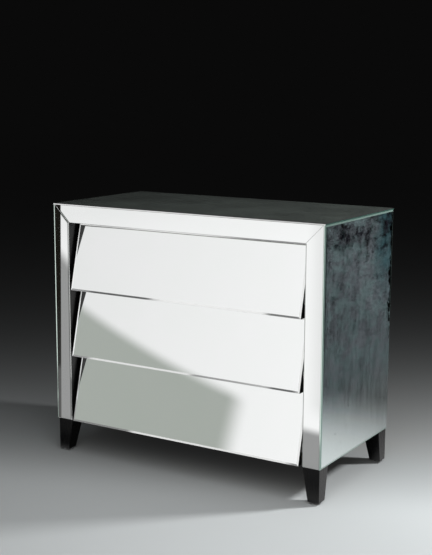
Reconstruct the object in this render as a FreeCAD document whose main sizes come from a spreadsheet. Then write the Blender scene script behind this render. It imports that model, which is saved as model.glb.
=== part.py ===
import FreeCAD, Part
import os
import re
import sys

import Sketcher

# Mirror-clad chest of three raked drawers on four tapered feet.
# Millimetres and degrees. +X is to the viewer's right, the front faces -Y and +Z is up.
# The origin is on the floor, under the middle of the overall box.

Vector = FreeCAD.Vector

SIZES = [
    # Case, measured over the mirrors
    ("case_width", 1000),
    ("case_depth", 494),
    ("case_height", 736),
    ("glass", 5),
    ("arris_width", 6),
    ("arris_depth", 2),
    ("frame_arris", 1),
    ("frame_face", 57),
    # Carcass timber
    ("board", 18),
    ("top_rail_depth", 30),
    ("back_post_depth", 50),
    ("back_board", 6),
    ("back_rabbet", 10),
    ("rail_depth", 40),
    ("rail_thickness", 18),
    ("rail_housing", 6),
    # Feet
    ("foot_height", 106),
    ("foot_top", 57),
    ("foot_tip", 38),
    ("foot_bolt", 8),
    ("foot_bolt_bite", 32),
    ("glide_height", 8),
    ("glide_diameter", 26),
    ("glide_rounding", 2),
    ("glide_pin", 5),
    ("glide_pin_length", 18),
    # Drawer fronts
    ("front_rake", 13.5),
    ("front_lip", 6),
    ("front_board", 20),
    ("front_gap", 5),
    ("side_reveal", 10),
    # Drawer boxes
    ("box_side", 14),
    ("box_back", 14),
    ("box_height", 150),
    ("box_clear", 6),
    ("box_back_inset", 8),
    ("box_bottom", 6),
    ("bottom_height", 10),
    ("bottom_tongue", 6),
    ("side_housing", 7),
    ("back_clear", 20),
    # Runners, which enter grooves in the drawer sides
    ("runner_height", 16),
    ("runner_rise", 66),
    ("runner_bite", 8),
    ("runner_clear", 0.3),
    ("runner_gap", 6),
    ("runner_landing", 24),
    # Countersunk screws
    ("screw_shank", 4),
    ("screw_head", 8),
    ("screw_slot", 1.2),
    ("runner_screw_length", 34),
    ("back_screw_length", 24),
    ("bottom_screw_length", 20),
    ("bottom_screw_spacing", 270),
]

# Places that follow from the sizes. Heights inside a drawer are counted from the lower edge of its front.
PLACES = [
    ("half_width", "case_width / 2"),
    ("wood_half", "half_width - glass"),
    ("bay_half", "wood_half - board"),
    ("opening_half", "wood_half - frame_face"),
    ("post_line", "(bay_half + opening_half) / 2"),
    ("front_half", "opening_half - side_reveal"),
    ("box_inner", "front_half - box_side"),
    ("rake_sin", "sin(front_rake * 1 deg)"),
    ("rake_cos", "cos(front_rake * 1 deg)"),
    ("rake_slope", "tan(front_rake * 1 deg)"),
    ("lip_reach", "front_lip - arris_width * rake_sin"),
    ("frame_front", "(lip_reach - case_depth) / 2"),
    ("frame_back", "frame_front + glass"),
    ("case_back", "frame_front + case_depth"),
    ("back_face", "case_back - back_board"),
    ("back_post_front", "back_face - back_post_depth"),
    ("case_bottom", "foot_height + glide_height"),
    ("case_top", "case_bottom + case_height"),
    ("wood_top", "case_top - glass"),
    ("wood_height", "wood_top - case_bottom"),
    ("ceiling", "wood_top - board"),
    ("opening_top", "wood_top - frame_face"),
    ("opening_height", "opening_top - case_bottom"),
    ("pitch", "opening_height / 3"),
    ("front_height", "pitch - front_gap"),
    ("mirror_length", "(front_height - glass * rake_sin) / rake_cos"),
    ("board_face", "frame_front - front_lip + glass * rake_cos"),
    ("board_rear", "board_face + front_board / rake_cos"),
    ("side_seat", "board_rear - side_housing / rake_cos"),
    ("box_lift", "max(rail_thickness; board) + box_clear"),
    ("box_rim", "box_lift + box_height"),
    ("box_end", "back_face - back_clear"),
    ("bottom_level", "box_lift + bottom_height"),
    ("bottom_top", "bottom_level + box_bottom"),
    ("bottom_front", "board_rear + bottom_level * rake_slope - bottom_tongue"),
    ("back_rear", "box_end - box_back_inset"),
    ("back_front", "back_rear - box_back"),
    ("back_half", "box_inner + (box_side - runner_bite) / 2"),
    ("runner_level", "box_lift + runner_rise"),
    ("runner_top", "runner_level + runner_height"),
    ("runner_front", "board_rear + runner_top * rake_slope + runner_gap"),
    ("runner_inner", "front_half - runner_bite"),
    ("post_back", "runner_front + runner_landing"),
    ("foot_middle", "foot_top / 2"),
    ("tip_middle", "foot_tip / 2"),
]

DRAWERS = ["bottom", "middle", "top"]

doc = FreeCAD.newDocument("mirrored_chest")
sizes = doc.addObject("Spreadsheet::Sheet", "Sizes")
places = doc.addObject("Spreadsheet::Sheet", "Places")
home = {}
nodes = []


def formula(text):
    """Put the name of its sheet before each size or place in a formula."""
    return re.sub(r"[a-z_]+", lambda word: home.get(word[0], "") + word[0], text)


def value(text):
    """The present value of a formula."""
    return float(places.evalExpression(formula(text)))


def fill(sheet, line, alias, content):
    sheet.set(f"A{line}", alias)
    sheet.set(f"B{line}", content)
    sheet.setAlias(f"B{line}", alias)
    home[alias] = sheet.Name + "."


def bind(thing, **formulas):
    for name, text in formulas.items():
        thing.setExpression(name, formula(text))


def place(thing, at, rotation=None):
    """Turn an object and bind its position to three formulas."""
    if rotation:
        thing.Placement = FreeCAD.Placement(Vector(), rotation)
    for axis, text in zip("xyz", at):
        thing.setExpression("Placement.Base." + axis, formula(text))
    return thing


def keep(thing, label):
    """Count an object among the pieces of the chest, under this name."""
    thing.Label = label
    nodes.append(thing)
    return thing


def block(name, start, end):
    """A square-edged piece of timber between two opposite corners."""
    timber = doc.addObject("Part::Box", name)
    spans = [f"({b}) - ({a})" for a, b in zip(start, end)]
    bind(timber, Length=spans[0], Width=spans[1], Height=spans[2])
    return place(timber, start)


def cut(name, base, tools):
    """A piece with the shapes of other pieces taken out of it."""
    tool = tools[0]
    if len(tools) > 1:
        tool = doc.addObject("Part::Compound", name + "_cutters")
        tool.Links = tools
    result = doc.addObject("Part::Cut", name)
    result.Base = base
    result.Tool = tool
    return result


def origin_plane(body, role):
    return [item for item in body.Origin.OriginFeatures if item.Role == role][0]


def outline(body, name, role, points):
    """A closed polygon on one of a body's own planes, each corner bound to two formulas."""
    sketch = body.newObject("Sketcher::SketchObject", name)
    sketch.AttachmentSupport = [(origin_plane(body, role), "")]
    sketch.MapMode = "FlatFace"
    corners = [Vector(value(x), value(y), 0) for x, y in points]
    count = len(points)
    for i in range(count):
        sketch.addGeometry(Part.LineSegment(corners[i], corners[(i + 1) % count]), False)
    for i in range(count):
        sketch.addConstraint(Sketcher.Constraint("Coincident", i, 2, (i + 1) % count, 1))
    for i, (x, y) in enumerate(points):
        for kind, axis, text, now in (("DistanceX", -2, x, corners[i].x), ("DistanceY", -1, y, corners[i].y)):
            if text == "0":
                sketch.addConstraint(Sketcher.Constraint("PointOnObject", i, 1, axis))
            else:
                number = sketch.addConstraint(Sketcher.Constraint(kind, -1, 1, i, 1, now))
                sketch.setExpression(f"Constraints[{number}]", formula(text))
    return sketch


def slab(name, role, points, thickness):
    """A body with one polygon drawn out to a thickness."""
    body = doc.addObject("PartDesign::Body", name)
    pad = body.newObject("PartDesign::Pad", name + "_pad")
    pad.Profile = outline(body, name + "_outline", role, points)
    bind(pad, Length=thickness)
    return body


def mirror(label, points, at, rotation, arris=("arris_depth", "arris_width")):
    """A sheet of silvered glass, back face down, with a polished arris round its face."""
    body = slab(label, "XY_Plane", points, "glass")
    doc.recompute()
    pad = body.Tip
    face_height = value("glass")
    rim = []
    for number, edge in enumerate(pad.Shape.Edges, 1):
        if all(abs(corner.Point.z - face_height) < 1e-6 for corner in edge.Vertexes):
            rim.append(f"Edge{number}")
    bevel = body.newObject("PartDesign::Chamfer", label + "_arris")
    bevel.Base = (pad, rim)
    bevel.ChamferType = "Two distances"
    bind(bevel, Size=arris[0], Size2=arris[1])
    return keep(place(body, at, rotation), label)


def screw(length, slotted):
    """A countersunk wood screw along +Z with its head's face at zero."""
    head = value("screw_head") / 2
    shank = value("screw_shank") / 2
    sink = head - shank
    profile = [
        Vector(0, 0, 0),
        Vector(head, 0, 0),
        Vector(shank, 0, sink),
        Vector(shank, 0, length - 2 * shank),
        Vector(0, 0, length),
        Vector(0, 0, 0),
    ]
    turned = Part.Face(Part.makePolygon(profile)).revolve(Vector(), Vector(0, 0, 1), 360)
    if not slotted:
        return turned
    width = value("screw_slot")
    return turned.cut(Part.makeBox(2 * head, width, sink / 2, Vector(-head, -width / 2, 0)))


def group(name, shape, spots):
    """Copies of one fastener, each at its own spot and along its own direction."""
    copies = []
    for spot, direction in spots:
        copy = shape.copy()
        copy.Placement = FreeCAD.Placement(Vector(*spot), FreeCAD.Rotation(Vector(0, 0, 1), Vector(*direction)))
        copies.append(copy)
    feature = doc.addObject("Part::Feature", name)
    feature.Shape = Part.makeCompound(copies)
    feature.Placement = FreeCAD.Placement()
    return feature


def screws(label, length, spots):
    """A node of slotted screws, and the plain seats that the timber is cut with."""
    keep(group(label, screw(value(length), True), spots), label)
    return group(label + "_seats", screw(value(length), False), spots)


def level(number, text="0"):
    """A height above the lower edge of a drawer's front, counted from the lowest drawer."""
    return f"case_bottom + {number} * pitch + {text}"


def make_runner_screws():
    spots = []
    for number in range(len(DRAWERS)):
        height = value(level(number, "runner_level + runner_height / 2"))
        for side in (-1, 1):
            for along in ("(runner_front + post_back) / 2", "(back_post_front + back_face) / 2"):
                spots.append(((side * value("runner_inner"), value(along), height), (side, 0, 0)))
    return screws("runner_screws", "runner_screw_length", spots)


def make_back_screws():
    spots = []
    back = value("case_back")
    for across in (-0.5, 0, 0.5):
        for height in ("case_bottom + board / 2", "wood_top - board / 2"):
            spots.append(((across * value("bay_half"), back, value(height)), (0, -1, 0)))
    for number in range(len(DRAWERS)):
        for side in (-1, 1):
            spots.append(((side * value("post_line"), back, value(level(number, "0.75 * pitch"))), (0, -1, 0)))
    return screws("back_panel_screws", "back_screw_length", spots)


def make_foot_bolts():
    radius = value("foot_bolt") / 2
    bite = value("foot_bolt_bite")
    bolt = Part.makeCylinder(radius, 2 * bite, Vector(0, 0, -bite))
    spots = []
    for side in (-1, 1):
        for along in ("frame_back + foot_middle", "case_back - foot_middle"):
            spots.append(((side * value("post_line"), value(along), value("case_bottom")), (0, 0, 1)))
    return keep(group("foot_bolts", bolt, spots), "foot_bolts")


def make_carcass(runner_seats, back_seats, bolts):
    """Timber case behind the mirrors: four posts, boards between them and rails between the drawers."""
    rails = []
    for number, name in ((1, "lower"), (2, "upper")):
        rail = block(
            f"divider_rail_{name}",
            ("-(bay_half + rail_housing)", "post_back", level(number)),
            ("bay_half + rail_housing", "post_back + rail_depth", level(number, "rail_thickness")),
        )
        rails.append(keep(rail, f"divider_rail_{name}"))

    back = block(
        "back_blank",
        ("-(bay_half + back_rabbet)", "back_face", "case_bottom"),
        ("bay_half + back_rabbet", "case_back", "wood_top"),
    )
    keep(cut("back_panel", back, [back_seats]), "back_panel")

    back_posts = []
    for side, inner, outer in (("left", "-bay_half", "-opening_half"), ("right", "opening_half", "bay_half")):
        post = block(
            f"front_post_{side}_blank",
            (inner, "frame_back", "case_bottom"),
            (outer, "post_back", "ceiling"),
        )
        keep(cut(f"front_post_{side}", post, [runner_seats, bolts]), f"front_post_{side}")
        post = block(
            f"back_post_{side}_blank",
            (inner, "back_post_front", "case_bottom"),
            (outer, "back_face", "ceiling"),
        )
        back_posts.append(post)
        keep(cut(f"back_post_{side}", post, [runner_seats, back_seats, bolts]), f"back_post_{side}")

    for side, inner, outer in (("left", "-wood_half", "-bay_half"), ("right", "bay_half", "wood_half")):
        panel = block(
            f"carcass_side_{side}_blank",
            (inner, "frame_back", "case_bottom"),
            (outer, "case_back", "wood_top"),
        )
        keep(cut(f"carcass_side_{side}", panel, rails + [back]), f"carcass_side_{side}")

    top = block("top_blank", ("-bay_half", "frame_back", "ceiling"), ("bay_half", "back_face", "wood_top"))
    keep(cut("carcass_top", top, [back_seats]), "carcass_top")
    bottom = block(
        "bottom_blank",
        ("-bay_half", "post_back", "case_bottom"),
        ("bay_half", "back_face", "case_bottom + board"),
    )
    keep(cut("carcass_bottom", bottom, back_posts + [back_seats]), "carcass_bottom")
    rail = block(
        "top_rail",
        ("-opening_half", "frame_back", "opening_top"),
        ("opening_half", "frame_back + top_rail_depth", "ceiling"),
    )
    keep(rail, "top_rail")


def make_case_mirrors():
    """Top, two sides and the mitred frame round the drawers."""
    mirror(
        "top_mirror",
        [
            ("-half_width", "frame_front"),
            ("half_width", "frame_front"),
            ("half_width", "case_back"),
            ("-half_width", "case_back"),
        ],
        ("0", "0", "wood_top"),
        FreeCAD.Rotation(),
    )
    side_outline = [("0", "0"), ("case_depth", "0"), ("case_depth", "wood_height"), ("0", "wood_height")]
    faces_left = FreeCAD.Rotation(Vector(0, -1, 0), Vector(0, 0, 1), Vector(-1, 0, 0), "XYZ")
    faces_right = FreeCAD.Rotation(Vector(0, 1, 0), Vector(0, 0, 1), Vector(1, 0, 0), "XYZ")
    mirror("side_mirror_left", side_outline, ("-wood_half", "case_back", "case_bottom"), faces_left)
    mirror("side_mirror_right", side_outline, ("wood_half", "frame_front", "case_bottom"), faces_right)

    faces_front = FreeCAD.Rotation(Vector(1, 0, 0), 90)
    narrow = ("frame_arris", "frame_arris")
    mirror(
        "frame_mirror_top",
        [
            ("-opening_half", "0"),
            ("opening_half", "0"),
            ("wood_half", "frame_face"),
            ("-wood_half", "frame_face"),
        ],
        ("0", "frame_back", "opening_top"),
        faces_front,
        narrow,
    )
    mirror(
        "frame_mirror_left",
        [
            ("-wood_half", "0"),
            ("-opening_half", "0"),
            ("-opening_half", "opening_height"),
            ("-wood_half", "wood_height"),
        ],
        ("0", "frame_back", "case_bottom"),
        faces_front,
        narrow,
    )
    mirror(
        "frame_mirror_right",
        [
            ("opening_half", "0"),
            ("wood_half", "0"),
            ("wood_half", "wood_height"),
            ("opening_half", "opening_height"),
        ],
        ("0", "frame_back", "case_bottom"),
        faces_front,
        narrow,
    )


def make_runners(seats):
    """Hardwood strips on the inner faces of the posts, two for each drawer."""
    for number, drawer in enumerate(DRAWERS):
        for side, inner, outer in (
            ("left", "-opening_half", "-runner_inner"),
            ("right", "runner_inner", "opening_half"),
        ):
            label = f"{drawer}_runner_{side}"
            strip = block(
                label + "_blank",
                (inner, "runner_front", level(number, "runner_level")),
                (outer, "back_face", level(number, "runner_top")),
            )
            keep(cut(label, strip, [seats]), label)


def make_glide(label, at):
    """A round slip-on glide with a pin up into the foot."""
    body = doc.addObject("PartDesign::Body", label)
    turned = body.newObject("PartDesign::Revolution", label + "_turned")
    profile = outline(
        body,
        label + "_profile",
        "XZ_Plane",
        [
            ("0", "0"),
            ("glide_diameter / 2 - glide_rounding", "0"),
            ("glide_diameter / 2", "glide_rounding"),
            ("glide_diameter / 2", "glide_height"),
            ("glide_pin / 2", "glide_height"),
            ("glide_pin / 2", "glide_height + glide_pin_length"),
            ("0", "glide_height + glide_pin_length"),
        ],
    )
    turned.Profile = profile
    turned.ReferenceAxis = (profile, ["V_Axis"])
    turned.Angle = 360
    return keep(place(body, at), label)


def make_foot(label, corner, tip, turn, bolts):
    """A foot with two upright outer faces and two inner faces that taper to the tip."""
    body = doc.addObject("PartDesign::Body", label + "_blank")
    head = outline(
        body,
        label + "_head",
        "XY_Plane",
        [("0", "0"), ("foot_top", "0"), ("foot_top", "foot_top"), ("0", "foot_top")],
    )
    toe = outline(
        body,
        label + "_toe",
        "XY_Plane",
        [("0", "0"), ("foot_tip", "0"), ("foot_tip", "foot_tip"), ("0", "foot_tip")],
    )
    toe.setExpression("AttachmentOffset.Base.z", formula("-foot_height"))
    taper = body.newObject("PartDesign::AdditiveLoft", label + "_taper")
    taper.Profile = head
    taper.Sections = [toe]
    taper.Ruled = True
    place(body, (*corner, "case_bottom"), FreeCAD.Rotation(Vector(0, 0, 1), turn))
    glide = make_glide(label.replace("foot", "glide"), (*tip, "0"))
    return keep(cut(label, body, [bolts, glide]), label)


def make_feet(bolts):
    left = ("-wood_half", "-wood_half + tip_middle")
    right = ("wood_half", "wood_half - tip_middle")
    front = ("frame_back", "frame_back + tip_middle")
    back = ("case_back", "case_back - tip_middle")
    for label, x, y, turn in (
        ("front_foot_left", left, front, 0),
        ("front_foot_right", right, front, 90),
        ("back_foot_right", right, back, 180),
        ("back_foot_left", left, back, 270),
    ):
        make_foot(label, (x[0], y[0]), (x[1], y[1]), turn, bolts)


def make_drawer(number, drawer):
    """A box with raked side ends housed in a leaning front, its bottom slid in from behind."""
    lower = level(number)
    back = block(
        f"{drawer}_drawer_back_blank",
        ("-back_half", "back_front", level(number, "bottom_top")),
        ("back_half", "back_rear", level(number, "box_rim")),
    )
    bottom = block(
        f"{drawer}_drawer_bottom_blank",
        ("-(box_inner + bottom_tongue)", "bottom_front", level(number, "bottom_level")),
        ("box_inner + bottom_tongue", "box_end", level(number, "bottom_top")),
    )
    spots = []
    for across in (-1, 0, 1):
        spot = (
            across * value("bottom_screw_spacing"),
            value("(back_front + back_rear) / 2"),
            value(level(number, "bottom_level")),
        )
        spots.append((spot, (0, 0, 1)))
    seats = screws(f"{drawer}_drawer_screws", "bottom_screw_length", spots)
    keep(cut(f"{drawer}_drawer_back", back, [seats]), f"{drawer}_drawer_back")
    keep(cut(f"{drawer}_drawer_bottom", bottom, [seats]), f"{drawer}_drawer_bottom")

    sides = []
    for side, start, groove_start, groove_end in (
        ("left", "-front_half", "-front_half", "runner_clear - runner_inner"),
        ("right", "box_inner", "runner_inner - runner_clear", "front_half"),
    ):
        label = f"{drawer}_drawer_side_{side}"
        raked = slab(
            label + "_blank",
            "YZ_Plane",
            [
                ("side_seat + box_lift * rake_slope", "box_lift"),
                ("box_end", "box_lift"),
                ("box_end", "box_rim"),
                ("side_seat + box_rim * rake_slope", "box_rim"),
            ],
            "box_side",
        )
        place(raked, (start, "0", lower))
        sides.append(raked)
        groove = block(
            label + "_groove",
            (groove_start, "runner_front - runner_clear", level(number, "runner_level - runner_clear")),
            (groove_end, "box_end", level(number, "runner_top + runner_clear")),
        )
        keep(cut(label, raked, [groove, back, bottom]), label)

    leaning = slab(
        f"{drawer}_drawer_front_blank",
        "YZ_Plane",
        [
            ("board_face", "0"),
            ("board_rear", "0"),
            ("board_rear + front_height * rake_slope", "front_height"),
            ("board_face + front_height * rake_slope", "front_height"),
        ],
        "2 * front_half",
    )
    place(leaning, ("-front_half", "0", lower))
    keep(cut(f"{drawer}_drawer_front", leaning, sides + [bottom]), f"{drawer}_drawer_front")

    glass = mirror(
        f"{drawer}_drawer_mirror",
        [("-front_half", "0"), ("front_half", "0"), ("front_half", "mirror_length"), ("-front_half", "mirror_length")],
        ("0", "board_face", lower),
        FreeCAD.Rotation(Vector(1, 0, 0), 90 - value("front_rake")),
    )
    glass.setExpression("Placement.Rotation.Angle", formula("90 - front_rake"))


def main():
    for line, (alias, number) in enumerate(SIZES, 1):
        fill(sizes, line, alias, str(number))
    for line, (alias, text) in enumerate(PLACES, 1):
        fill(places, line, alias, "=" + formula(text))
    doc.recompute()

    runner_seats = make_runner_screws()
    back_seats = make_back_screws()
    bolts = make_foot_bolts()
    make_carcass(runner_seats, back_seats, bolts)
    make_case_mirrors()
    make_runners(runner_seats)
    make_feet(bolts)
    for number, drawer in enumerate(DRAWERS):
        make_drawer(number, drawer)
    doc.recompute()

    for thing in doc.Objects:
        if "Invalid" in thing.State or "Error" in thing.State:
            sys.exit(f"{thing.Label} failed: {thing.State}")
    for node in nodes:
        if node.Shape.isNull() or not node.Shape.isValid() or not node.Shape.Solids:
            sys.exit(f"{node.Label} has no valid solid")

    os.makedirs("parts", exist_ok=True)
    for node in nodes:
        node.Shape.exportStep(f"parts/{node.Label}.step")
    print(len(nodes), "pieces")


main()
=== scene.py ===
"""Looks of the mirror-clad chest of three raked drawers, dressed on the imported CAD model.

Metres, part frame: +X to the right, the front faces -Y, +Z up, the floor at z = 0.
"""
import math

import bpy
from mathutils import Euler, Matrix, Vector

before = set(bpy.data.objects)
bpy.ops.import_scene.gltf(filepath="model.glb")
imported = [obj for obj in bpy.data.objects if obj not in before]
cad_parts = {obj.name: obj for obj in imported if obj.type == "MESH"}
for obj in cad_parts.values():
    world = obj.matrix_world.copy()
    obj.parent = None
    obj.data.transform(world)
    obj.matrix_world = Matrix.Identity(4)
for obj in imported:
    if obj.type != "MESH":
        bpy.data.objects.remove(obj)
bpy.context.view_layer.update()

MM = 0.001
DRAWERS = ("bottom", "middle", "top")
HANDS = ("left", "right")
ENDS = ("front", "back")

# The ways that the chest's faces look.
FORWARD, BACKWARD = (0.0, -1.0, 0.0), (0.0, 1.0, 0.0)
LEFTWARD, RIGHTWARD = (-1.0, 0.0, 0.0), (1.0, 0.0, 0.0)
UPWARD, DOWNWARD = (0.0, 0.0, 1.0), (0.0, 0.0, -1.0)

# The drawer fronts lean back, and their arris is 6 mm wide and 2 mm deep.
RAKE = math.radians(13.5)
RAKED_FACE = (0.0, -math.cos(RAKE), math.sin(RAKE))
ARRIS_TILT = math.atan2(2, 6)

# The side panes' upright edges and top, and the opening in the frame.
CASE_FRONT, CASE_BACK, CASE_TOP = -0.2447, 0.2493, 0.845
OPENING_TOP, OPENING_HALF = 0.788, 0.438

# The least cosine between a surface and a way for it to count as facing that way.
ROUGHLY, MOSTLY, NEARLY, SQUARELY = 0.5, 0.7, 0.98, 0.99

GLASS_IOR, WOOD_IOR, NYLON_IOR = 1.52, 1.5, 1.53

# Settings that many nodes share: a soft step, and a mix of two colours.
SOFT = {"interpolation_type": "SMOOTHSTEP"}
TINTS = {"data_type": "RGBA"}

# Lamps: watts, where each stands and what it is aimed at.
KEY_LAMP = 143.0, (1.65, 0.85, 1.42), (0.0, 0.0, 0.4)
FRONT_FILL = 17.5, (1.1, -2.0, 1.8), (0.2, -0.4, 0.2)
OVERHEAD = 12.8, (0.4, -0.5, 2.2), (0.4, -0.5, 0.0)
KEY_RADIUS, SOFT_LAMP_SIZE = 0.15, 2.0

# The photograph's own standpoint, its aim in degrees and its lens, found from the chest's edges in the picture.
STANDPOINT = (1.898885, -3.099077, 1.24399)
TILT_DOWN, PAN, ROLL = 9.881, 31.728, 0.266
LENS, SENSOR_WIDTH = 72.574, 36.0


def linear(code):
    """An sRGB hex colour as linear RGBA."""
    channels = [int(code[i:i + 2], 16) / 255 for i in (0, 2, 4)]
    return [c / 12.92 if c <= 0.04045 else ((c + 0.055) / 1.055) ** 2.4 for c in channels] + [1.0]


def node(tree, kind, inputs=None, **settings):
    """Add a node and give its outputs. Settings are its properties, inputs are values or the sockets that feed it.
    A Mix takes its share at 0, numbers at 2 and 3, vectors at 4 and 5, and colours at 6 and 7."""
    made = tree.nodes.new("ShaderNode" + kind)
    for name, value in settings.items():
        setattr(made, name, value)
    for key, value in (inputs or {}).items():
        if isinstance(value, bpy.types.NodeSocket):
            tree.links.new(value, made.inputs[key])
        else:
            made.inputs[key].default_value = value
    return made.outputs


def blank(name):
    """A material with an empty tree and its output."""
    material = bpy.data.materials.new(name)
    material.use_nodes = True
    tree = material.node_tree
    tree.nodes.clear()
    return material, tree, tree.nodes.new("ShaderNodeOutputMaterial")


def per_metre(size_mm):
    """The noise scale whose blotches are about this many millimetres across."""
    return 1.0 / (size_mm * MM)


def faces(tree, towards, least):
    """Where a surface faces a way: 1 where its normal's share along it is above the least."""
    normal = node(tree, "TexCoord")["Normal"]
    turn = node(tree, "VectorMath", {0: normal, 1: towards}, operation="DOT_PRODUCT")["Value"]
    return node(tree, "Math", {0: turn, 1: least}, operation="GREATER_THAN")[0]


def faces_one(tree, ways):
    """Where a surface faces one of these ways, to within a few degrees."""
    found = 0.0
    for way in ways:
        found = node(tree, "Math", {0: faces(tree, way, SQUARELY), 1: found}, operation="MAXIMUM")[0]
    return found


def crosswise(tree, axis):
    """Where a surface lies across an axis, whichever way along it the surface faces."""
    normal = node(tree, "TexCoord")["Normal"]
    turn = node(tree, "VectorMath", {0: normal, 1: axis}, operation="DOT_PRODUCT")["Value"]
    turn = node(tree, "Math", {0: turn}, operation="ABSOLUTE")[0]
    return node(tree, "Math", {0: turn, 1: MOSTLY}, operation="GREATER_THAN")[0]


def drawn_along(tree, along, share):
    """Coordinates in which a pattern is drawn out along the grain, to its size there divided by the share."""
    stretch = [share if axis == along else 1.0 for axis in "xyz"]
    place = node(tree, "TexCoord")["Object"]
    return node(tree, "VectorMath", {0: place, 1: stretch}, operation="MULTIPLY")[0]


def pane_finish(tree, facing, pane, arris, cut, bright, silver, arris_silver, gloss):
    """Colour, metallic and roughness of a pane of glass, from those of its face, its arris and its cut edges.
    Some edges are polished bright: the ways they face and their tint. The back is painted grey."""
    bright_ways, bright_tint = bright
    back = faces(tree, [-part for part in facing], ROUGHLY)
    rim = faces(tree, facing, ROUGHLY)
    face = faces(tree, facing, NEARLY)
    lit = faces_one(tree, bright_ways)
    # The cut edge comes first, and each row then gives a finish laid over it: where, colour, metallic, roughness.
    colour, metal, rough = linear(cut), 0.3, 0.12
    for share, tone, mirror, matt in (
            (rim, linear(arris), arris_silver, 0.05),
            (face, pane, silver, gloss),
            (lit, linear(bright_tint), 0.95, 0.12),
            (back, linear("4C504B"), 0.0, 0.6)):
        colour = node(tree, "Mix", {0: share, 6: colour, 7: tone}, **TINTS)[2]
        metal = node(tree, "Mix", {0: share, 2: metal, 3: mirror})[0]
        rough = node(tree, "Mix", {0: share, 2: rough, 3: matt})[0]
    return colour, metal, rough


def pencil_round(tree, ways, flat):
    """The normal of a pane with some rounded edges: on those it leans, so that they show what is ahead."""
    lean = (0.196, -0.98, 0.0)
    return node(tree, "Mix", {0: faces_one(tree, ways), 4: flat, 5: lean}, data_type="VECTOR")[1]


def painted_shade_and_mitre_line(tree, place, pane):
    """The frame's tint with dark lines: painted shade beside the opening, where the glass shows the dark recess,
    wider on the left, and a dark line along the left mitre."""
    edge = OPENING_HALF + 0.5 * MM
    left_width, right_width = 6.5 * MM, 3.5 * MM
    mitre_outer, mitre_inner = 8 * MM, 4 * MM
    spread = node(tree, "SeparateXYZ", {0: place})
    aside = node(tree, "Math", {0: spread["X"]}, operation="ABSOLUTE")[0]
    width = node(tree, "MapRange", {"Value": spread["X"], "From Min": -edge, "From Max": edge,
                                    "To Min": left_width, "To Max": right_width})[0]
    outer = node(tree, "Math", {0: edge, 1: width}, operation="ADD")[0]
    # Painted shade: darker towards the edge of the opening.
    dark_lines = node(tree, "MapRange", {"Value": aside, "From Min": outer, "From Max": edge})[0]
    low = node(tree, "Math", {0: spread["Z"], 1: OPENING_TOP}, operation="LESS_THAN")[0]
    dark_lines = node(tree, "Math", {0: dark_lines, 1: low}, operation="MULTIPLY")[0]
    # The left mitre rises to the left at 45 degrees from the corner of the opening.
    mitre = node(tree, "Math", {0: spread["X"], 1: spread["Z"]}, operation="ADD")[0]
    mitre = node(tree, "Math", {0: mitre, 1: OPENING_TOP - OPENING_HALF}, operation="SUBTRACT")[0]
    mitre = node(tree, "Math", {0: mitre}, operation="ABSOLUTE")[0]
    mitre = node(tree, "MapRange", {"Value": mitre, "From Min": mitre_outer, "From Max": mitre_inner,
                                    "To Max": 0.95})[0]
    dark_lines = node(tree, "Math", {0: dark_lines, 1: mitre}, operation="MAXIMUM")[0]
    return node(tree, "Mix", {0: dark_lines, 6: pane, 7: linear("3A443E")}, **TINTS)[2]


def silvered_plate_glass(name, facing, tint, film, arris_silver, cut, bright, marked=False):
    """Float glass silvered on its back, with a narrow ground arris: a clear mirror with slow waves,
    a pale line round each pane, green cut edges, some of them polished bright, and grey backing paint behind.
    Film is the share of light that the dust scatters. Marked panes get dark lines, painted shade beside the opening and
    a dark line along the left mitre, and their bright edges are not rounded."""
    material, tree, output = blank(name)
    place = node(tree, "TexCoord")["Object"]

    # Dust lies in patches 150 mm across and is broken up by specks, drawn coarse at 9 mm so that they show.
    patches = node(tree, "TexNoise", {"Vector": place, "Scale": per_metre(150),
                                      "Detail": 3.0, "Roughness": 0.6})["Fac"]
    specks = node(tree, "TexNoise", {"Vector": place, "Scale": per_metre(9),
                                     "Detail": 4.0, "Roughness": 0.7})["Fac"]
    least_dust, most_dust = 0.5, 1.5
    dust = node(tree, "Math", {0: patches, 1: 0.6, 2: specks}, operation="MULTIPLY_ADD")[0]
    dust = node(tree, "MapRange", {"Value": dust, "From Min": 0.55, "From Max": 1.05,
                                   "To Min": least_dust, "To Max": most_dust})[0]
    pane = node(tree, "Mix", {0: patches, 6: linear(tint[0]), 7: linear(tint[1])}, **TINTS)[2]
    silver = node(tree, "Math", {0: dust, 1: -film, 2: 1.0}, operation="MULTIPLY_ADD")[0]
    gloss = node(tree, "MapRange", {"Value": dust, "From Min": least_dust, "From Max": most_dust,
                                    "To Min": 0.004, "To Max": 0.01 + 0.25 * film})[0]
    # Marked panes get painted shade beside the opening and a dark line along the left mitre.
    if marked:
        pane = painted_shade_and_mitre_line(tree, place, pane)
    colour, metal, rough = pane_finish(tree, facing, pane, "F8F9F8", cut, bright, silver, arris_silver, gloss)

    # Float glass is not quite flat: waves 0.02 mm deep, a quarter of a metre long.
    wave = node(tree, "TexNoise", {"Vector": place, "Scale": per_metre(250), "Detail": 0.0})["Fac"]
    bend = node(tree, "Bump", {"Height": wave, "Strength": 1.0, "Distance": 0.02 * MM})[0]
    normal = bend if marked else pencil_round(tree, bright[0], bend)
    shader = node(tree, "BsdfPrincipled", {"Base Color": colour, "Metallic": metal, "Roughness": rough,
                                           "IOR": GLASS_IOR, "Normal": normal})[0]
    tree.links.new(shader, output.inputs["Surface"])
    return material


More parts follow.
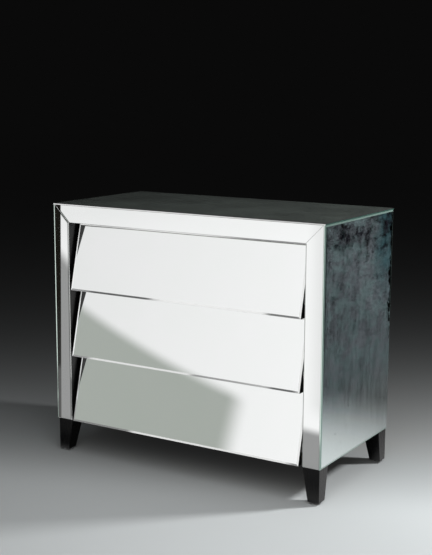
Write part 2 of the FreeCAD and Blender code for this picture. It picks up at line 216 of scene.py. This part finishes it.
def decayed_silvered_glass(name, facing):
    """Glass whose silvering has decayed: a hazed blue-grey mirror with streaks down the pane, black, brown and
    violet blotches under the top edge, a teal cloud at the upper back corner, and nicks out of the silver
    along the back edge."""
    material, tree, output = blank(name)
    place = node(tree, "TexCoord")["Object"]
    spread = node(tree, "SeparateXYZ", {0: place})

    # Haze in clouds 120 mm across, streaks 13 mm wide drawn out down the pane, a mottle of 7 mm
    # and a change of tint every 55 mm. All but the streaks are drawn out along the depth of the chest.
    drawn_out = node(tree, "VectorMath", {0: place, 1: (1.0, 1.0, 0.14)}, operation="MULTIPLY")[0]
    broad = node(tree, "VectorMath", {0: place, 1: (1.0, 0.55, 1.0)}, operation="MULTIPLY")[0]
    cloud = node(tree, "TexNoise", {"Vector": broad, "Scale": per_metre(120),
                                    "Detail": 4.0, "Roughness": 0.6})["Fac"]
    wisps = node(tree, "TexNoise", {"Vector": drawn_out, "Scale": per_metre(13),
                                    "Detail": 3.0, "Roughness": 0.6})["Fac"]
    mottle = node(tree, "TexNoise", {"Vector": broad, "Scale": per_metre(7),
                                     "Detail": 4.0, "Roughness": 0.7})["Fac"]
    tinge = node(tree, "TexNoise", {"Vector": broad, "Scale": per_metre(55),
                                    "Detail": 6.0, "Roughness": 0.7})["Fac"]
    tinge = node(tree, "MapRange", {"Value": tinge, "From Min": 0.42, "From Max": 0.58}, **SOFT)[0]

    # How near a point is to the top, to the sound silver low down, and to the two upright edges in the upper part.
    decay = node(tree, "MapRange", {"Value": spread["Z"], "From Min": CASE_TOP - 0.3, "From Max": CASE_TOP}, **SOFT)[0]
    sound = node(tree, "MapRange", {"Value": spread["Z"], "From Min": 0.4, "From Max": 0.2}, **SOFT)[0]
    upper = node(tree, "MapRange", {"Value": spread["Z"], "From Min": 0.3, "From Max": 0.6}, **SOFT)[0]
    near_front = node(tree, "MapRange", {"Value": spread["Y"], "From Min": CASE_FRONT + 20 * MM,
                                         "From Max": CASE_FRONT + 4 * MM}, **SOFT)[0]
    near_front = node(tree, "Math", {0: near_front, 1: upper}, operation="MULTIPLY")[0]
    near_back = node(tree, "MapRange", {"Value": spread["Y"], "From Min": CASE_BACK - 50 * MM,
                                        "From Max": CASE_BACK}, **SOFT)[0]
    near_back = node(tree, "Math", {0: near_back, 1: upper}, operation="MULTIPLY")[0]
    teal = node(tree, "MapRange", {"Value": spread["Y"], "From Min": CASE_BACK - 240 * MM,
                                   "From Max": CASE_BACK - 50 * MM}, **SOFT)[0]
    high = node(tree, "MapRange", {"Value": spread["Z"], "From Min": 0.42, "From Max": 0.8})[0]
    teal = node(tree, "Math", {0: teal, 1: high}, operation="MULTIPLY")[0]
    teal = node(tree, "Math", {0: teal, 1: cloud}, operation="MULTIPLY")[0]
    teal = node(tree, "MapRange", {"Value": teal, "From Min": 0.1, "From Max": 0.5}, **SOFT)[0]

    # Foxing: ragged blotches 45 mm across that crowd together under the top edge, fainter spots lower down,
    # and nicks at the back edge.
    ragged = node(tree, "TexNoise", {"Vector": broad, "Scale": per_metre(45),
                                     "Detail": 10.0, "Roughness": 0.75})["Fac"]
    rot = node(tree, "Math", {0: decay, 1: 0.14, 2: ragged}, operation="MULTIPLY_ADD")[0]
    blotch = node(tree, "MapRange", {"Value": rot, "From Min": 0.57, "From Max": 0.74}, **SOFT)[0]
    spots = node(tree, "TexNoise", {"Vector": place, "Scale": per_metre(70),
                                    "Detail": 5.0, "Roughness": 0.65})["Fac"]
    spots = node(tree, "MapRange", {"Value": spots, "From Min": 0.55, "From Max": 0.68, "To Max": 0.55}, **SOFT)[0]
    blotch = node(tree, "Math", {0: blotch, 1: spots}, operation="MAXIMUM")[0]
    blotch = node(tree, "Math", {0: blotch, 1: upper}, operation="MULTIPLY")[0]
    chips = node(tree, "TexNoise", {"Vector": place, "Scale": per_metre(24),
                                    "Detail": 6.0, "Roughness": 0.7})["Fac"]
    bite = node(tree, "Math", {0: near_back, 1: 0.3, 2: chips}, operation="MULTIPLY_ADD")[0]
    nick = node(tree, "MapRange", {"Value": bite, "From Min": 0.66, "From Max": 0.72}, **SOFT)[0]

    # Brown in the streaks of a violet or blue-black stain, which is plain blue-black below the decayed top.
    brown = node(tree, "MapRange", {"Value": wisps, "From Min": 0.45, "From Max": 0.6})[0]
    stain = node(tree, "Mix", {0: tinge, 6: linear("5A5566"), 7: linear("1C2F36")}, **TINTS)[2]
    stain = node(tree, "Mix", {0: brown, 6: stain, 7: linear("2A211D")}, **TINTS)[2]
    stain = node(tree, "Mix", {0: decay, 6: linear("26363A"), 7: stain}, **TINTS)[2]
    pane = node(tree, "Mix", {0: tinge, 6: linear("D2DFE8"), 7: linear("C4E1E4")}, **TINTS)[2]
    for share, tint in ((sound, linear("DFE9E9")), (teal, linear("74A5AF")), (blotch, stain),
                        (near_front, linear("2A4843")), (nick, linear("08090A"))):
        pane = node(tree, "Mix", {0: share, 6: pane, 7: tint}, **TINTS)[2]

    # The haze scatters about a tenth of the light, more where it is thick. In the upper part its mottle is stronger,
    # its streaks are weaker, and it is patchy.
    grain = node(tree, "Math", {0: upper, 1: 0.9, 2: 0.4}, operation="MULTIPLY_ADD")[0]
    haze = node(tree, "Math", {0: mottle, 1: -0.5}, operation="ADD")[0]
    haze = node(tree, "Math", {0: haze, 1: grain}, operation="MULTIPLY")[0]
    streak = node(tree, "Math", {0: upper, 1: -0.2, 2: 0.75}, operation="MULTIPLY_ADD")[0]
    drawn = node(tree, "Math", {0: wisps, 1: -0.5}, operation="ADD")[0]
    haze = node(tree, "Math", {0: drawn, 1: streak, 2: haze}, operation="MULTIPLY_ADD")[0]
    haze = node(tree, "Math", {0: cloud, 1: 0.55, 2: haze}, operation="MULTIPLY_ADD")[0]
    patchy = node(tree, "Math", {0: tinge, 1: -0.5}, operation="ADD")[0]
    patchy = node(tree, "Math", {0: patchy, 1: upper}, operation="MULTIPLY")[0]
    haze = node(tree, "Math", {0: patchy, 1: 0.16, 2: haze}, operation="MULTIPLY_ADD")[0]
    silver = node(tree, "MapRange", {"Value": haze, "From Min": -0.075, "From Max": 0.525,
                                     "To Min": 0.97, "To Max": 0.835})[0]
    gloss = node(tree, "MapRange", {"Value": cloud, "From Min": 0.3, "From Max": 0.7,
                                    "To Min": 0.03, "To Max": 0.09})[0]
    bright = [FORWARD], "E2F2EA"
    colour, metal, rough = pane_finish(tree, facing, pane, "8FA8A0", "BCE3D6", bright, silver, 0.5, gloss)
    rounded = pencil_round(tree, bright[0], node(tree, "TexCoord")["Normal"])
    shader = node(tree, "BsdfPrincipled", {"Base Color": colour, "Metallic": metal, "Roughness": rough,
                                           "IOR": GLASS_IOR, "Normal": rounded})[0]
    tree.links.new(shader, output.inputs["Surface"])
    return material


def planed_wood(name, along, early, late, ring, rough, pore_depth, specular=0.5):
    """Planed timber: bands of early and late growth drawn out along the grain, fine pores and darker end grain.
    The ring is how wide the growth bands are and the pore depth how deep the pores are, in millimetres."""
    material, tree, output = blank(name)
    grain = drawn_along(tree, along, 0.05)
    figure = node(tree, "TexNoise", {"Vector": grain, "Scale": per_metre(ring),
                                     "Detail": 3.0, "Distortion": 1.2})["Fac"]
    bands = node(tree, "TexNoise", {"Vector": grain, "Scale": per_metre(ring / 6), "Detail": 2.0})["Fac"]
    # Pores are 0.2 mm wide, drawn at 1.2 mm so that they show.
    pores = node(tree, "TexNoise", {"Vector": grain, "Scale": per_metre(1.2), "Detail": 2.0})["Fac"]
    growth = node(tree, "Math", {0: figure, 1: bands}, operation="MULTIPLY")[0]
    tone = node(tree, "MapRange", {"Value": growth, "From Min": 0.12, "From Max": 0.4}, **SOFT)[0]
    face = node(tree, "Mix", {0: tone, 6: linear(early), 7: linear(late)}, **TINTS)[2]
    pore_tone = node(tree, "MapRange", {"Value": pores, "From Min": 0.3, "From Max": 0.55,
                                        "To Min": 0.72, "To Max": 1.0})[0]
    face = node(tree, "VectorMath", {0: face, 3: pore_tone}, operation="SCALE")[0]
    # End grain drinks more finish and is a third darker.
    end = crosswise(tree, [1.0 if axis == along else 0.0 for axis in "xyz"])
    end = node(tree, "Math", {0: end, 1: -0.35, 2: 1.0}, operation="MULTIPLY_ADD")[0]
    colour = node(tree, "VectorMath", {0: face, 3: end}, operation="SCALE")[0]
    gloss = node(tree, "MapRange", {"Value": pores, "From Min": 0.3, "From Max": 0.7,
                                    "To Min": rough + 0.12, "To Max": rough})[0]
    relief = node(tree, "Bump", {"Height": pores, "Strength": 0.6, "Distance": pore_depth * MM})[0]
    shader = node(tree, "BsdfPrincipled", {"Base Color": colour, "Roughness": gloss, "IOR": WOOD_IOR,
                                           "Specular IOR Level": specular, "Normal": relief})[0]
    tree.links.new(shader, output.inputs["Surface"])
    return material


def birch_plywood(name, facing, along):
    """Rotary-cut birch plywood, sanded: pale faces with a soft flame figure, and edges of light and dark plies."""
    material, tree, output = blank(name)
    grain = drawn_along(tree, along, 0.12)
    flame = node(tree, "TexNoise", {"Vector": grain, "Scale": per_metre(45),
                                    "Detail": 4.0, "Distortion": 2.0})["Fac"]
    fibre = node(tree, "TexNoise", {"Vector": grain, "Scale": per_metre(2), "Detail": 2.0})["Fac"]
    tone = node(tree, "MapRange", {"Value": flame, "From Min": 0.35, "From Max": 0.65}, **SOFT)[0]
    face = node(tree, "Mix", {0: tone, 6: linear("DCC49C"), 7: linear("C6A878")}, **TINTS)[2]
    # Five plies in 6 mm, so a light and a dark one every 2.4 mm.
    place = node(tree, "TexCoord")["Object"]
    depth = node(tree, "VectorMath", {0: place, 1: facing}, operation="DOT_PRODUCT")["Value"]
    ply = node(tree, "Math", {0: depth, 1: 2 * math.pi / (2.4 * MM)}, operation="MULTIPLY")[0]
    ply = node(tree, "Math", {0: ply}, operation="SINE")[0]
    ply = node(tree, "MapRange", {"Value": ply, "From Min": -0.5, "From Max": 0.5})[0]
    plies = node(tree, "Mix", {0: ply, 6: linear("8A6A45"), 7: linear("CDB186")}, **TINTS)[2]
    flat = crosswise(tree, facing)
    colour = node(tree, "Mix", {0: flat, 6: plies, 7: face}, **TINTS)[2]
    gloss = node(tree, "MapRange", {"Value": fibre, "To Min": 0.62, "To Max": 0.5})[0]
    relief = node(tree, "Bump", {"Height": fibre, "Strength": 0.4, "Distance": 0.1 * MM})[0]
    shader = node(tree, "BsdfPrincipled", {"Base Color": colour, "Roughness": gloss, "IOR": WOOD_IOR,
                                           "Normal": relief})[0]
    tree.links.new(shader, output.inputs["Surface"])
    return material


def zinc_plated_steel(name):
    """Pressed steel with bright zinc: cool grey metal with a cloudy, slightly spangled sheen."""
    material, tree, output = blank(name)
    place = node(tree, "TexCoord")["Object"]
    spangle = node(tree, "TexVoronoi", {"Vector": place, "Scale": per_metre(2)})["Distance"]
    cloud = node(tree, "TexNoise", {"Vector": place, "Scale": per_metre(5), "Detail": 3.0})["Fac"]
    colour = node(tree, "Mix", {0: cloud, 6: linear("B9BDC2"), 7: linear("D6D9DB")}, **TINTS)[2]
    gloss = node(tree, "MapRange", {"Value": spangle, "To Min": 0.24, "To Max": 0.42})[0]
    relief = node(tree, "Bump", {"Height": cloud, "Strength": 0.3, "Distance": 0.05 * MM})[0]
    shader = node(tree, "BsdfPrincipled", {"Base Color": colour, "Metallic": 1.0, "Roughness": gloss,
                                           "Normal": relief})[0]
    tree.links.new(shader, output.inputs["Surface"])
    return material


def moulded_nylon(name):
    """Nylon moulded in a sparked tool: near-black with a fine dull grain, scuffed paler where it meets the floor."""
    material, tree, output = blank(name)
    place = node(tree, "TexCoord")["Object"]
    height = node(tree, "SeparateXYZ", {0: place})["Z"]
    # The spark grain is 0.1 mm, drawn at 0.8 mm so that it shows. Scuffs reach 3 mm up.
    grain = node(tree, "TexNoise", {"Vector": place, "Scale": per_metre(0.8), "Detail": 2.0})["Fac"]
    scuff = node(tree, "TexNoise", {"Vector": place, "Scale": per_metre(6), "Detail": 4.0})["Fac"]
    low = node(tree, "MapRange", {"Value": height, "From Min": 3 * MM, "From Max": 0.0})[0]
    marked = node(tree, "Math", {0: low, 1: scuff}, operation="MULTIPLY")[0]
    colour = node(tree, "Mix", {0: marked, 6: linear("1B1B1C"), 7: linear("5A5955")}, **TINTS)[2]
    gloss = node(tree, "MapRange", {"Value": grain, "To Min": 0.42, "To Max": 0.6})[0]
    relief = node(tree, "Bump", {"Height": grain, "Strength": 0.5, "Distance": 0.05 * MM})[0]
    shader = node(tree, "BsdfPrincipled", {"Base Color": colour, "Roughness": gloss, "IOR": NYLON_IOR,
                                           "Normal": relief})[0]
    tree.links.new(shader, output.inputs["Surface"])
    return material


def dress(material, *names):
    """Put a material on these CAD nodes."""
    for name in names:
        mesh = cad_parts[name].data
        mesh.materials.clear()
        mesh.materials.append(material)


def dress_glass():
    """The mirrors: a dusty top with a green cast, clear panes on the frame and drawers, and decayed sides."""
    clear, dusty = ("F9F9FA", "F5F8F6"), ("EBF6EF", "DFF1E6")
    dress(silvered_plate_glass("silvered_plate_glass_top", UPWARD, dusty, 0.115, 0.95, "3F5F56",
                               ([FORWARD], "FFFFFF")),
          "top_mirror")
    # The frame's panes are marked with painted shade beside the opening and a dark line along the left mitre.
    dress(silvered_plate_glass("silvered_plate_glass_frame", FORWARD, clear, 0.01, 0.85, "2C322E",
                               ([DOWNWARD], "F4F7F0"), marked=True),
          "frame_mirror_top", "frame_mirror_left", "frame_mirror_right")
    # The left and upper arrises of the drawers' panes are rounded.
    outward = LEFTWARD, (0.0, math.sin(RAKE), math.cos(RAKE))
    round_arrises = [tuple(Vector(RAKED_FACE) * math.cos(ARRIS_TILT) + Vector(way) * math.sin(ARRIS_TILT))
                     for way in outward]
    dress(silvered_plate_glass("silvered_plate_glass_drawer", RAKED_FACE, clear, 0.01, 0.8, "26302C",
                               (round_arrises, "FAFBFA")),
          *[f"{d}_drawer_mirror" for d in DRAWERS])
    dress(decayed_silvered_glass("decayed_silvered_glass_left", LEFTWARD), "side_mirror_left")
    dress(decayed_silvered_glass("decayed_silvered_glass_right", RIGHTWARD), "side_mirror_right")


def dress_wood():
    """The timber of the case, the feet and the drawer boxes, each with its grain along the board."""
    # Ebonised beech: stained through and wiped with satin lacquer, so the grain only shows in the sheen.
    for along, names in (
            ("x", ["top_rail", "divider_rail_lower", "divider_rail_upper"] + [f"{d}_drawer_front" for d in DRAWERS]),
            ("z", [f"front_post_{h}" for h in HANDS] + [f"{e}_foot_{h}" for e in ENDS for h in HANDS])):
        dress(planed_wood(f"ebonised_beech_{along}", along, "101011", "060607", 18, 0.2, 0.05, 0.3), *names)
    # Poplar, planed and left bare: pale, slightly green brown with wide rings.
    for along, names in (
            ("x", ["carcass_top"]),
            ("z", [f"carcass_side_{h}" for h in HANDS] + [f"back_post_{h}" for h in HANDS])):
        dress(planed_wood(f"planed_poplar_{along}", along, "CDAF84", "A98656", 30, 0.56, 0.12), *names)
    # The case's bottom board is stained black, so that no pale wood shows under the drawers.
    dress(planed_wood("stained_poplar", "x", "1E1C1A", "131211", 30, 0.5, 0.12, 0.3), "carcass_bottom")
    # Beech, planed and waxed: pinkish, close-grained, with a low shine from the wax.
    dress(planed_wood("waxed_beech", "y", "D0A77C", "B98A5D", 14, 0.38, 0.06),
          *[f"{d}_runner_{h}" for d in DRAWERS for h in HANDS])
    # Maple, planed and sealed: creamy and even.
    for along, names in (
            ("y", [f"{d}_drawer_side_{h}" for d in DRAWERS for h in HANDS]),
            ("x", [f"{d}_drawer_back" for d in DRAWERS])):
        dress(planed_wood(f"sealed_maple_{along}", along, "DDBF92", "C9A473", 22, 0.42, 0.06), *names)
    dress(birch_plywood("birch_plywood_back", BACKWARD, "z"), "back_panel")
    dress(birch_plywood("birch_plywood_bottom", UPWARD, "x"), *[f"{d}_drawer_bottom" for d in DRAWERS])


def dress_fittings():
    """The screws and bolts, and the glides under the feet."""
    dress(zinc_plated_steel("zinc_plated_steel"), "runner_screws", "back_panel_screws", "foot_bolts",
          *[f"{d}_drawer_screws" for d in DRAWERS])
    dress(moulded_nylon("moulded_nylon"), *[f"{e}_glide_{h}" for e in ENDS for h in HANDS])


def paper_sweep(tree, coords):
    """Matt pale paper, as the eye sees it: its colour fades into the dark behind the chest, a painted falloff of the
    light, and glows a little for the light that comes back to it from the room."""
    place = node(tree, "SeparateXYZ", {0: coords})
    # How far behind the chest a point is, along a line turned a little to the left.
    behind = node(tree, "Math", {0: place["X"], 1: -0.37, 2: place["Y"]}, operation="MULTIPLY_ADD")[0]
    # Two fades behind the chest, painted falloff of the light, set the paper's colour, capped at its brightest.
    paper_with_painted_falloff = 0.0
    for share, run in ((0.335, 0.63), (0.078, 4.0)):
        painted_falloff = node(tree, "Math", {0: behind, 1: -1 / run}, operation="MULTIPLY")[0]
        painted_falloff = node(tree, "Math", {0: math.e, 1: painted_falloff}, operation="POWER")[0]
        paper_with_painted_falloff = node(tree, "Math", {0: painted_falloff, 1: share, 2: paper_with_painted_falloff}, operation="MULTIPLY_ADD")[0]
    brightest, bend = 0.7, 0.15
    paper_with_painted_falloff = node(tree, "Math", {0: paper_with_painted_falloff, 1: brightest, 2: bend}, operation="SMOOTH_MIN")[0]
    # Its colour also runs out into the dark a few metres off on every side, painted shade, so that no horizon shows.
    far = node(tree, "VectorMath", {0: coords}, operation="LENGTH")["Value"]
    far = node(tree, "MapRange", {"Value": far, "From Min": 12.0, "From Max": 2.5}, **SOFT)[0]
    paper_with_painted_falloff = node(tree, "Math", {0: paper_with_painted_falloff, 1: far}, operation="MULTIPLY")[0]
    colour = node(tree, "VectorMath", {0: linear("F5FAFB")[:3], 3: paper_with_painted_falloff}, operation="SCALE")[0]
    paper = node(tree, "BsdfDiffuse", {"Color": colour})[0]
    bounce = node(tree, "Math", {0: paper_with_painted_falloff, 1: 0.018, 2: 0.003}, operation="MULTIPLY_ADD")[0]
    glow = node(tree, "Emission", {"Color": linear("FFFFFF"), "Strength": bounce})[0]
    return node(tree, "AddShader", {0: paper, 1: glow})[0]


def white_sheet(tree, place):
    """Where a white sheet lies on the floor in front of the chest, and how white it is. Its near edge is straight
    and its left edge slants. It is greyer far off on the left, and also to the right of a line across it."""
    sheet = 1.0
    for slope, start, blur in ((0.145, -0.915, 0.05), (0.946, -0.545, 0.08)):
        inside = node(tree, "Math", {0: place["X"], 1: slope, 2: start}, operation="MULTIPLY_ADD")[0]
        inside = node(tree, "Math", {0: inside, 1: place["Y"]}, operation="SUBTRACT")[0]
        inside = node(tree, "MapRange", {"Value": inside, "From Min": -blur, "From Max": blur}, **SOFT)[0]
        sheet = node(tree, "Math", {0: inside, 1: sheet}, operation="MULTIPLY")[0]
    white = node(tree, "MapRange", {"Value": place["X"], "From Min": -4.8, "From Max": -2.2,
                                    "To Min": 0.86, "To Max": 0.985})[0]
    # The line starts from a spot behind the chest and runs out half as far to the left as forward.
    spot_x, spot_y, greyer, whiter = 1.899, 2.61, 0.487, 0.513
    across = node(tree, "Math", {0: spot_x, 1: place["X"]}, operation="SUBTRACT")[0]
    away = node(tree, "Math", {0: spot_y, 1: place["Y"]}, operation="SUBTRACT")[0]
    slant = node(tree, "Math", {0: across, 1: away}, operation="DIVIDE")[0]
    fall = node(tree, "MapRange", {"Value": slant, "From Min": greyer, "From Max": whiter,
                                   "To Min": 0.83, "To Max": 1.0}, **SOFT)[0]
    ease = node(tree, "MapRange", {"Value": place["Y"], "From Min": -1.0, "From Max": -1.2})[0]
    fall = node(tree, "Mix", {0: ease, 2: 1.0, 3: fall})[0]
    white = node(tree, "Math", {0: white, 1: fall}, operation="MULTIPLY")[0]
    return sheet, white


def lay_cards(tree, place, laid):
    """The floor with shade under the chest and by its left foot, and with white and black cards, whose ends
    make the bright and dark stretches of the drawers' arrises."""
    shade, white, black, feather = 0.02, 0.9, 0.03, 0.03
    for west, east, south, north, tone in (
            (-0.48, 0.48, -0.28, 0.24, shade), (-0.8, -0.46, -0.41, -0.26, black),
            (-0.36, 0.3, -0.52, -0.4, white), (-0.93, -0.4, -0.96, -0.85, white),
            (-0.08, 0.06, -0.96, -0.85, black), (-1.47, -1.08, -1.62, -1.51, black),
            (-0.48, -0.27, -1.62, -1.51, black), (-1.98, -1.66, -6.6, -5.5, black),
            (-0.67, 0.12, -6.5, -4.2, black)):
        card = 1.0
        for along, low, high in ((place["X"], west, east), (place["Y"], south, north)):
            for edge, inward in ((low, feather), (high, -feather)):
                within = node(tree, "MapRange", {"Value": along, "From Min": edge, "From Max": edge + inward})[0]
                card = node(tree, "Math", {0: within, 1: card}, operation="MULTIPLY")[0]
        laid = node(tree, "Mix", {0: card, 2: laid, 3: tone})[0]
    return laid


def mirrored_floor(tree, coords):
    """What the mirrors see of the floor, painted as a glow: pale behind the chest, a painted light that fades to dark
    further back, and in front a grey painted shadow of the chest, with a white sheet further off, cards on it, and dark
    beyond a line on the left."""
    place = node(tree, "SeparateXYZ", {0: coords})
    # Behind the chest a painted light fades to dark. In front of it a grey band is painted shadow of the chest.
    back = node(tree, "MapRange", {"Value": place["Y"], "From Min": 1.01, "From Max": 0.0,
                                   "To Min": 0.003, "To Max": 0.78}, **SOFT)[0]
    front = node(tree, "MapRange", {"Value": place["Y"], "From Min": -0.26, "From Max": -0.4}, **SOFT)[0]
    near = node(tree, "MapRange", {"Value": place["Y"], "From Min": -0.4, "From Max": -0.58,
                                   "To Min": 0.2, "To Max": 0.32}, **SOFT)[0]
    laid = node(tree, "Mix", {0: front, 2: back, 3: near})[0]
    sheet, white = white_sheet(tree, place)
    laid = node(tree, "Mix", {0: sheet, 2: laid, 3: white})[0]
    laid = lay_cards(tree, place, laid)
    # How far left of the dark's edge a point is. The dark deepens in three steps away from the chest.
    left_x, left_y, left_start, blur = -0.7707, 0.6373, -0.2166, 4 * MM
    leftward = node(tree, "Math", {0: place["X"], 1: left_x, 2: left_start}, operation="MULTIPLY_ADD")[0]
    leftward = node(tree, "Math", {0: place["Y"], 1: left_y, 2: leftward}, operation="MULTIPLY_ADD")[0]
    dark = node(tree, "MapRange", {"Value": leftward, "From Min": 0.0, "From Max": blur})[0]
    deep = 0.0
    for begins, ends, share in ((-0.4, -0.5, 0.68), (-1.08, -1.18, 0.25), (-1.2, -2.4, 0.07)):
        step = node(tree, "MapRange", {"Value": place["Y"], "From Min": begins, "From Max": ends, "To Max": share})[0]
        deep = node(tree, "Math", {0: deep, 1: step}, operation="ADD")[0]
    dark = node(tree, "Math", {0: dark, 1: deep}, operation="MULTIPLY")[0]
    laid = node(tree, "Mix", {0: dark, 6: laid, 7: linear("16140F")}, **TINTS)[2]
    return node(tree, "Emission", {"Color": laid, "Strength": 1.0})[0]


def make_floor():
    """A pale paper sweep whose colour fades into the dark behind the chest, painted falloff of the light."""
    reach, steps = 18.0, 36
    row = steps + 1
    points = [(-reach + 2 * reach * i / steps, -reach + 2 * reach * j / steps, 0.0)
              for j in range(row) for i in range(row)]
    squares = [(j * row + i, j * row + i + 1, (j + 1) * row + i + 1, (j + 1) * row + i)
               for j in range(steps) for i in range(steps)]
    mesh = bpy.data.meshes.new("floor")
    mesh.from_pydata(points, [], squares)
    floor = bpy.data.objects.new("floor", mesh)
    bpy.context.scene.collection.objects.link(floor)
    material, tree, output = blank("matt_paper_sweep")
    coords = node(tree, "TexCoord")["Object"]
    in_a_mirror = node(tree, "LightPath")["Is Glossy Ray"]
    shader = node(tree, "MixShader", {0: in_a_mirror, 1: paper_sweep(tree, coords), 2: mirrored_floor(tree, coords)})[0]
    tree.links.new(shader, output.inputs["Surface"])
    mesh.materials.append(material)


def hang_lamps():
    """A lamp behind on the right, and broad soft lights in front and overhead. None of them shows."""
    for name, kind, (watts, stand, aim) in (
            ("key", "POINT", KEY_LAMP), ("front_fill", "AREA", FRONT_FILL), ("overhead", "AREA", OVERHEAD)):
        light = bpy.data.lights.new(name, kind)
        light.energy = watts
        if kind == "AREA":
            light.shape, light.size = "DISK", SOFT_LAMP_SIZE
        else:
            light.shadow_soft_size = KEY_RADIUS
        lamp = bpy.data.objects.new(name, light)
        lamp.location = stand
        lamp.rotation_euler = (Vector(stand) - Vector(aim)).to_track_quat("Z", "Y").to_euler()
        lamp.visible_camera = lamp.visible_glossy = False
        bpy.context.scene.collection.objects.link(lamp)


def mirrored_room(tree):
    """What the mirrors see beyond the floor: white in front up to about 45 degrees, a grey wall low on its left,
    dark behind, and grey overhead. Bearings are in degrees to the left of straight ahead."""
    way = node(tree, "SeparateXYZ", {0: node(tree, "TexCoord")["Generated"]})
    left = node(tree, "Math", {0: way["X"], 1: -1.0}, operation="MULTIPLY")[0]
    ahead = node(tree, "Math", {0: way["Y"], 1: -1.0}, operation="MULTIPLY")[0]
    bearing = node(tree, "Math", {0: left, 1: ahead}, operation="ARCTAN2")[0]
    bearing = node(tree, "Math", {0: bearing}, operation="DEGREES")[0]
    height = node(tree, "Math", {0: way["Z"]}, operation="ARCSINE")[0]
    height = node(tree, "Math", {0: height}, operation="DEGREES")[0]
    aside = node(tree, "Math", {0: bearing}, operation="ABSOLUTE")[0]
    low = node(tree, "MapRange", {"Value": height, "From Min": 52.0, "From Max": 38.0}, **SOFT)[0]
    front = node(tree, "MapRange", {"Value": aside, "From Min": 105.0, "From Max": 85.0}, **SOFT)[0]
    front = node(tree, "Math", {0: front, 1: low}, operation="MULTIPLY")[0]
    # The wall's top curves up from its right-hand end.
    wall_end, end_height, rise, curve, blur = 30.0, 7.62, 0.17, 0.0117, 0.38
    wall_side = node(tree, "MapRange", {"Value": bearing, "From Min": 28.75, "From Max": 30.15}, **SOFT)[0]
    past = node(tree, "Math", {0: bearing, 1: -wall_end}, operation="ADD")[0]
    wall_top = node(tree, "Math", {0: past, 1: curve, 2: rise}, operation="MULTIPLY_ADD")[0]
    wall_top = node(tree, "Math", {0: wall_top, 1: past, 2: end_height}, operation="MULTIPLY_ADD")[0]
    below = node(tree, "Math", {0: wall_top, 1: height}, operation="SUBTRACT")[0]
    wall_low = node(tree, "MapRange", {"Value": below, "From Min": -blur, "From Max": blur}, **SOFT)[0]
    wall = node(tree, "Math", {0: wall_side, 1: wall_low}, operation="MULTIPLY")[0]
    white = node(tree, "MapRange", {"Value": bearing, "From Min": 26.0, "From Max": 40.0,
                                    "To Min": 0.97, "To Max": 0.83})[0]
    white = node(tree, "Mix", {0: wall, 6: white, 7: linear("A9AEA8")}, **TINTS)[2]
    above = node(tree, "MapRange", {"Value": height, "From Min": 45.0, "From Max": 85.0,
                                    "To Min": 0.003, "To Max": 0.3}, **SOFT)[0]
    return node(tree, "Mix", {0: front, 6: above, 7: white}, **TINTS)[2]


def light_studio():
    """The lamps, a dim even light from all round, near-black for the eye, and a room for the mirrors to show."""
    hang_lamps()
    world = bpy.data.worlds.new("studio")
    world.use_nodes = True
    bpy.context.scene.world = world
    tree = world.node_tree
    tree.nodes.clear()
    output = tree.nodes.new("ShaderNodeOutputWorld")
    path = node(tree, "LightPath")
    colour = node(tree, "Mix", {0: path["Is Glossy Ray"], 6: linear("3C3C3C"), 7: mirrored_room(tree)}, **TINTS)[2]
    colour = node(tree, "Mix", {0: path["Is Camera Ray"], 6: colour, 7: linear("0A0A0A")}, **TINTS)[2]
    shader = node(tree, "Background", {"Color": colour, "Strength": 1.0})[0]
    tree.links.new(shader, output.inputs["Surface"])


def set_camera():
    """The photograph's camera."""
    data = bpy.data.cameras.new("camera")
    data.lens, data.sensor_width = LENS, SENSOR_WIDTH
    camera = bpy.data.objects.new("camera", data)
    bpy.context.scene.collection.objects.link(camera)
    turn = Euler((math.radians(90 - TILT_DOWN), 0.0, math.radians(PAN))).to_matrix().to_4x4()
    camera.matrix_world = Matrix.Translation(STANDPOINT) @ turn @ Matrix.Rotation(math.radians(ROLL), 4, "Z")
    bpy.context.scene.camera = camera


dress_glass()
dress_wood()
dress_fittings()
make_floor()
light_studio()
set_camera()
bpy.context.scene.view_settings.view_transform = "Standard"
